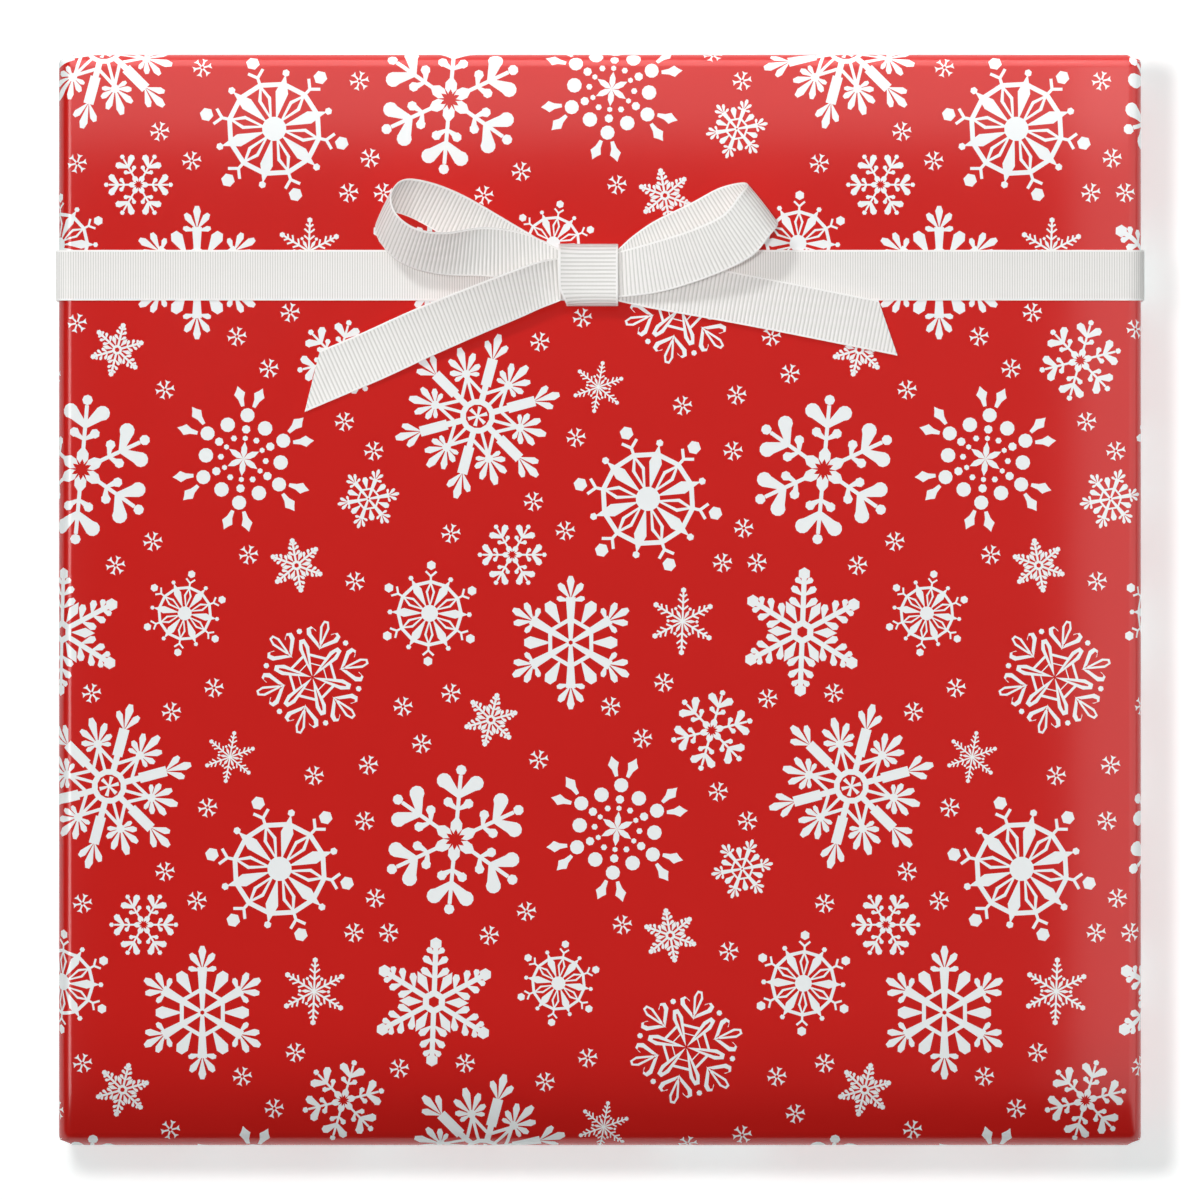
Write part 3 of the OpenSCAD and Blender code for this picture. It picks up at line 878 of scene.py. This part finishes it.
def weaveStrip(name, path, pitch, material, ribDepth, cup=None, columns=(), samples=None, closed=False):
    # path is centres, directions across and half widths; cup(run share, across share) lifts a point
    samples = samples or ribbon["samples"]
    c, a, h, run = evenRun(*path, pitch, samples)
    ahead = np.gradient(c, axis=0)
    if closed:
        ahead[0] = ahead[-1] = c[1] - c[-2]
    up = np.cross(ahead, a)
    up /= np.linalg.norm(up, axis=1)[:, None]
    lane = 1 - ribbon["selvage"]
    side = [(1, 0.45, 0), (0.975, 0.85, 0), (lane + 0.03, 0.95, 0), (lane, 1, 1)]
    inner = [(s, 1, 1) for s in sorted(columns, reverse=True)]
    top = side + inner + [(-s, t, r) for s, t, r in reversed(side)]
    ring = [(s, t, r, 1) for s, t, r in top] + [(s, t, r, -1) for s, t, r in reversed(top)]
    points, where = [], []
    for i in range(len(c)):
        rib = ribDepth * (1 - math.cos(2 * math.pi * run[i] / pitch)) / 2
        for s, t, r, face in ring:
            lift = cup(run[i] / run[-1], s) if cup else 0
            off = face * (ribbon["thickness"] / 2 * t - rib * r) + lift
            points.append(c[i] + a[i] * h[i] * s + up[i] * off)
            where.append((run[i], s * ribbon["width"] / 2))
    n = len(ring)
    faces = []
    rows = len(c) - 1 if closed else len(c)
    if closed:
        points, where = points[:-n], where[:-n]
    for i in range(rows if closed else rows - 1):
        j = (i + 1) % rows
        for k in range(n):
            m = (k + 1) % n
            faces.append([i * n + k, i * n + m, j * n + m, j * n + k])
    if not closed:
        faces.append(list(range(n)))
        faces.append([(rows - 1) * n + k for k in reversed(range(n))])
    corners = [where[i] for f in faces for i in f]
    piece = finishMesh(name, points, faces, [material], maps={"ribbonRun": corners})
    solid = bmesh.new()
    solid.from_mesh(piece.data)
    bmesh.ops.recalc_face_normals(solid, faces=solid.faces)
    solid.to_mesh(piece.data)
    solid.free()
    print(name, round(run[-1], 1), "mm long,", len(faces), "faces")
    return piece, run[-1]


def smoothEdges(piece, degrees):
    bpy.ops.object.select_all(action="DESELECT")
    bpy.context.view_layer.objects.active = piece
    piece.select_set(True)
    bpy.ops.object.shade_smooth_by_angle(angle=math.radians(degrees))
    piece.select_set(False)


def ribbonPiece(piece, nodes, body):
    smoothEdges(piece, 50)
    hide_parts(*nodes)
    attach(piece, body)


def arcPoints(x, z, radius, fromAngle, toAngle, count=10):
    angles = [math.radians(fromAngle + (toAngle - fromAngle) * i / count) for i in range(count + 1)]
    return [(x + radius * math.cos(t), z + radius * math.sin(t)) for t in angles]


bandLow, bandHigh = boxMm("ribbon_band")
glueLow, glueHigh = boxMm("band_glue")
knotLow, knotHigh = boxMm("bow_knot")
bandY = (bandLow.y + bandHigh.y) / 2
bowX = (knotLow.x + knotHigh.x) / 2
ribbonT = ribbon["thickness"]
bandHalf = bandHigh.x - ribbonT / 2
bandTop = glueLow.z - ribbonT / 2
bandBottom = bandLow.z + ribbonT / 2
lapZ = bandHigh.z - ribbonT / 2
lap = (glueHigh.x - glueLow.x + 1) / 2
turnR = creaseR + 0.3 + ribbonT / 2
bx, bz, tz = bandHalf - turnR, bandBottom + turnR, bandTop - turnR
bandLine = [(bowX - lap, lapZ), (bowX + lap + 0.2, lapZ), (bowX + lap + 0.5, lapZ - 0.12),
            (bowX + lap + 0.8, bandTop + 0.1), (bowX + lap + 1.1, bandTop)]
bandLine += arcPoints(bx, tz, turnR, 90, 0)
bandLine += arcPoints(bx, bz, turnR, 0, -90)
bandLine += arcPoints(-bx, bz, turnR, -90, -180)
bandLine += arcPoints(-bx, tz, turnR, 180, 90)
bandLine += [(bowX + lap, bandTop)]
band, bandLength = weaveStrip(
    "ribbonBand", ([(x, bandY, z) for x, z in bandLine], [(0, 1, 0)] * len(bandLine),
                   [ribbon["width"] / 2] * len(bandLine)), grosgrain["bandPitch"], bandWeave,
    ribbon["bandRibs"], samples=3)
ribbonPiece(band, ["ribbon_band"], "ribbon")

# Each loop and tail goes through stations, counted in mm from the knot's mouth and its hollow's floor:
# x, y, z, heading of its width, tilt of its width, share of its width.
bow = {
    "leftLoop": [
        [0, 0.4, 0.55, 91, 0, 0.9],
        [-4.3, 2.2, 1.05, 84, 2, 0.97],
        [-10.8, 5.6, 1.85, 73, 12, 1],
        [-20.4, 11.4, 3.45, 64, 28, 1],
        [-26.9, 14.3, 4.45, 63, 40, 1],
        [-31, 14.6, 5.45, 64, 45, 1],
        [-33, 11.8, 7.25, 63, 46, 1],
        [-31.7, 8.2, 8.45, 65, 48, 1],
        [-27.8, 5.2, 8.35, 70, 42, 1],
        [-22, 4, 6.85, 79, 34, 1],
        [-13.8, 4.3, 4.25, 88, 14, 1],
        [-6.1, 3.2, 2.05, 92, 4, 0.97],
        [0, 0.6, 1.35, 91, 0, 0.9],
    ],
    "rightLoop": [
        [0, 0.4, 1.35, 90, 0, 0.9],
        [4.3, 3, 1.65, 104, 0, 0.98],
        [9.3, 6, 1.95, 114, 1, 1],
        [16.2, 9.4, 2.35, 120, 2, 1],
        [21.6, 12.3, 2.85, 124, 2, 1],
        [25.8, 13.5, 4.65, 128, 2, 1],
        [27.2, 13.1, 6.85, 128, 2, 1],
        [25.6, 10.9, 9.05, 127, 2, 1],
        [22.4, 7.2, 9.05, 124, 4, 1],
        [15.4, 3.9, 7.05, 112, 6, 1],
        [7.2, 1.4, 3.85, 100, 4, 1],
        [0, 0, 2.15, 91, 0, 0.9],
    ],
    "leftTail": [
        [0, -0.8, 2.2, 93, 0, 0.85],
        [-3.8, -1.9, 2.95, 98, 16, 0.94],
        [-8.8, -3.9, 3.45, 104, 22, 1],
        [-16.3, -6.9, 2.85, 109, 18, 1],
        [-25.8, -10.9, 1.05, 113, 10, 1],
        [-34.8, -15, -0.35, 114, 3, 1],
        [-42.8, -18.4, -0.8, 114, 0, 1],
        [-51.8, -22.2, -0.8, 113, 0, 1],
    ],
    "rightTail": [
        [0, -0.6, 0.55, 90, 0, 0.9],
        [4.3, -1.2, 0.5, 87, 1, 0.97],
        [8.8, -1.9, 0.4, 83, 3, 1],
        [20.8, -4, 0.2, 80, 4, 1],
        [32.8, -6.3, 0, 79, 4, 1],
        [41.8, -8.1, -0.15, 79, 4, 1],
        [54.8, -10.7, -0.3, 79, 3, 1],
    ],
    # slanted ends of the tails: a point on the cut and the direction that the cut looks
    "leftCut": (-46.45, -19.95, 166),
    "rightCut": (50.8, -9.7, 19),
    "cutOff": 5,  # mm of each tail's length that its cut takes
    "tuckedIn": 0.2,
}
mouth = (knotHigh.x - knotLow.x) / 2 - bow["tuckedIn"]
hollowFloor = knotLow.z + ribbonT


def bowPath(stations, side):
    s = [list(map(float, row)) for row in stations]
    s = [[2 * a - b for a, b in zip(s[0], s[1])]] + s + [[2 * a - b for a, b in zip(s[-1], s[-2])]]
    rows = []
    for i in range(1, len(s) - 2):
        for k in range(20):
            t = k / 20
            rows.append([0.5 * (2 * b + (c - a) * t + (2 * a - 5 * b + 4 * c - d) * t * t
                                + (3 * b - a - 3 * c + d) * t ** 3)
                         for a, b, c, d in zip(s[i - 1], s[i], s[i + 1], s[i + 2])])
    rows.append(s[-2])
    centres, acrosses, halves = [], [], []
    for x, y, z, heading, tilt, share in rows:
        h, t = math.radians(heading), math.radians(tilt)
        centres.append((bowX + side * mouth + x, bandY + y, hollowFloor + z))
        acrosses.append((math.cos(t) * math.cos(h), math.cos(t) * math.sin(h), math.sin(t)))
        halves.append(ribbon["width"] / 2 * share)
    return centres, acrosses, halves


def gentleCup(depth, side):
    # the strip is slightly hollow across, the same all along its run
    def cup(share, s):
        return -side * depth * (1 - s * s)
    return cup


def cutTail(piece, cut, side):
    x, y, heading = cut
    direction = Vector((math.cos(math.radians(heading)), math.sin(math.radians(heading)), 0))
    bpy.ops.object.select_all(action="DESELECT")
    bpy.context.view_layer.objects.active = piece
    piece.select_set(True)
    bpy.ops.object.mode_set(mode="EDIT")
    bpy.ops.mesh.select_all(action="SELECT")
    bpy.ops.mesh.bisect(plane_co=Vector((bowX + side * mouth + x, bandY + y, 0)) * mm, plane_no=direction,
                        use_fill=True, clear_outer=True, threshold=1e-7)
    bpy.ops.object.mode_set(mode="OBJECT")
    piece.select_set(False)


bendColumns = (-0.6, -0.3, 0, 0.3, 0.6)
for name, nodes, body, side, cut in (
        ("leftLoop", ["bow_left_loop"], "left_loop", -1, None),
        ("rightLoop", ["bow_right_loop"], "right_loop", 1, None),
        ("leftTail", ["bow_left_tail"], "left_tail", -1, bow["leftCut"]),
        ("rightTail", ["bow_right_tail"], "right_tail", 1, bow["rightCut"])):
    piece, length = weaveStrip(name, bowPath(bow[name], side), grosgrain["bowPitch"], bowWeave,
                               ribbon["bowRibs"], gentleCup(0.15, side), bendColumns)
    if cut:
        cutTail(piece, cut, side)
        length -= bow["cutOff"]
    ribbonPiece(piece, nodes, body)

# The knot: ribbon taken once round the bow, its upper side drawn in towards the edges.
knot = {
    "width": knotHigh.x - knotLow.x,
    "across": knotHigh.y - knotLow.y,
    "upperTurn": 2.3,
    "lowerTurn": 1.3,
    "leftDrop": 0.8,  # how far its sides bend down
    "rightDrop": 0.2,
    "slant": 1.5,  # how far the lower left corner is pulled in
}
halfAcross = knot["across"] / 2 - ribbonT / 2
knotTop = knotHigh.z - ribbonT / 2
knotBottom = knotLow.z + ribbonT / 2
ku, kl = knot["upperTurn"], knot["lowerTurn"]
knotLine = [(0, knotBottom)]
knotLine += arcPoints(halfAcross - kl, knotBottom + kl, kl, -90, 0)
knotLine += arcPoints(halfAcross - ku, knotTop - ku, ku, 0, 90)
knotLine += [(y, knotTop) for y in (halfAcross * 0.3, 0, -halfAcross * 0.3, -halfAcross * 0.45)]
knotLine += arcPoints(-halfAcross + ku, knotTop - ku, ku, 90, 180)
knotLine += arcPoints(-halfAcross + kl, knotBottom + kl, kl, 180, 270)
knotLine += [(0, knotBottom)]


def knotCup(share, s):
    # the middle of the run is the knot's upper side
    upper = smoothStep(1.6 - abs(share - 0.5) * 6)
    return upper * (knot["leftDrop"] * s * s if s < 0 else knot["rightDrop"] * s ** 4)


def knotEdge(y):
    # the lower left corner is pulled in, so that the edge there runs slanting
    return knot["slant"] * smoothStep((-y - halfAcross * 0.35) / (halfAcross * 0.65)) / 2


knotPiece, knotLength = weaveStrip(
    "bowKnot", ([(bowX + knotEdge(y), bandY + y, z) for y, z in knotLine], [(1, 0, 0)] * len(knotLine),
                [knot["width"] / 2 - knotEdge(y) for y, z in knotLine]), ribbon["knotPitch"], bowWeave,
    ribbon["bowRibs"], knotCup, bendColumns, closed=True)
ribbonPiece(knotPiece, ["bow_knot"], "ribbon")

# Inside the knot the bow's ribbon is folded to and fro.
gatherLow, gatherHigh = boxMm("bow_gather")
gather = {"layers": 4, "height": 3.1}
reachY = (gatherHigh.y - gatherLow.y) / 2 - 1.1
gapZ = (gather["height"] - ribbonT) / (gather["layers"] - 1)
firstZ = gatherLow.z + ribbonT / 2 + 0.02
gatherLine = []
for i in range(gather["layers"]):
    z = firstZ + i * gapZ
    way = 1 if i % 2 == 0 else -1
    gatherLine += [(-way * reachY, z), (way * reachY, z)]
    if i < gather["layers"] - 1:
        gatherLine += arcPoints(way * reachY, z + gapZ / 2, gapZ / 2, -90, 90 if way > 0 else -270, 8)[1:-1]
gatherPiece, gatherLength = weaveStrip(
    "bowGather", ([(bowX, bandY + y, z) for y, z in gatherLine], [(1, 0, 0)] * len(gatherLine),
                  [(gatherHigh.x - gatherLow.x) / 2] * len(gatherLine)), grosgrain["bowPitch"], bowWeave,
    ribbon["bowRibs"])
ribbonPiece(gatherPiece, ["bow_gather"], "ribbon")
print("ribbon made")


studio = {
    "frameWidth": 225.4,  # mm of the package's face plane that the camera takes in
    "distance": 4000,  # mm from the camera to the face
    "world": 0.19,
    "floor": "#FBFBFA",
    "floorGlow": 0.56,  # lifts the floor to the plain white of a light table
}


def addLight(name, position, size, strength, glossy=True, diffuse=True, shadow=True, only=()):
    # aimed at the middle of the face; only lists the pieces that it lights, where that is not all
    data = bpy.data.lights.new(name, "AREA")
    data.shape = "RECTANGLE"
    data.size, data.size_y = size[0] * mm, size[1] * mm
    data.energy = strength
    data.use_shadow = shadow
    light = bpy.data.objects.new(name, data)
    bpy.context.scene.collection.objects.link(light)
    light.location = Vector(position) * mm
    light.rotation_euler = (Vector((0, 0, faceZ)) - Vector(position)).to_track_quat("-Z", "Y").to_euler()
    light.visible_glossy = glossy
    light.visible_diffuse = diffuse
    if only:
        light.light_linking.receiver_collection = bpy.data.collections.new(name + "Receivers")
        for piece in only:
            light.light_linking.receiver_collection.objects.link(piece)


bpy.ops.object.select_all(action="DESELECT")
bpy.ops.mesh.primitive_plane_add(size=6)
floor = bpy.context.object
floor.name = "studioFloor"
bpy.ops.object.mode_set(mode="EDIT")
bpy.ops.mesh.subdivide(number_cuts=4)
bpy.ops.object.mode_set(mode="OBJECT")
floorPaper, floorTree, floorShader = newMaterial("paintedStudioFloor", {
    "Base Color": colour(studio["floor"]), "Roughness": 0.9, "Emission Color": colour("#F4FFFF"),
    "Emission Strength": studio["floorGlow"]})
floor.data.materials.append(floorPaper)

world = bpy.data.worlds.new("studioAir")
world.use_nodes = True
world.node_tree.nodes["Background"].inputs["Color"].default_value = (1, 1, 1, 1)
world.node_tree.nodes["Background"].inputs["Strength"].default_value = studio["world"]
world.cycles_visibility.glossy = False
bpy.context.scene.world = world

ribbons = [o for o in bpy.data.objects if o.type == "MESH" and o.data.uv_layers.get("ribbonRun")]
papers = [o for o in bpy.data.objects if o.type == "MESH" and o.data.uv_layers.get("OFBake")]
addLight("keyLight", (-115, 95, 2000), (90, 90), 12.8, glossy=False)
addLight("slantingLight", (-700, 1000, 1650), (260, 260), 11, glossy=False, only=papers + ribbons)
addLight("rakingLight", (250, 1300, 600), (300, 300), 13, glossy=False, shadow=False, only=papers)
addLight("ribbonFill", (-900, -900, 1560), (300, 300), 9, glossy=False, shadow=False, only=ribbons)
addLight("upperSoftbox", (0, 480, 1000), (1400, 620), 5.4, diffuse=False)
addLight("upperWall", (0, 1060, 580), (1600, 960), 20, diffuse=False)
addLight("leftSoftbox", (-850, 0, 927), (1400, 330), 9, diffuse=False)
addLight("rightSoftbox", (500, 0, 1000), (1400, 640), 4.6, diffuse=False)
addLight("rightWall", (1060, 0, 580), (1400, 960), 8, diffuse=False)

cameraData = bpy.data.cameras.new("overheadCamera")
cameraData.sensor_width = 36
cameraData.lens = 36 * studio["distance"] / studio["frameWidth"]
cameraData.clip_start = 0.1
cameraData.clip_end = 20
camera = bpy.data.objects.new("overheadCamera", cameraData)
camera.location = Vector((0, 0, faceZ + studio["distance"])) * mm
bpy.context.scene.collection.objects.link(camera)
bpy.context.scene.camera = camera
bpy.context.scene.view_settings.view_transform = "Standard"
print("studio made")
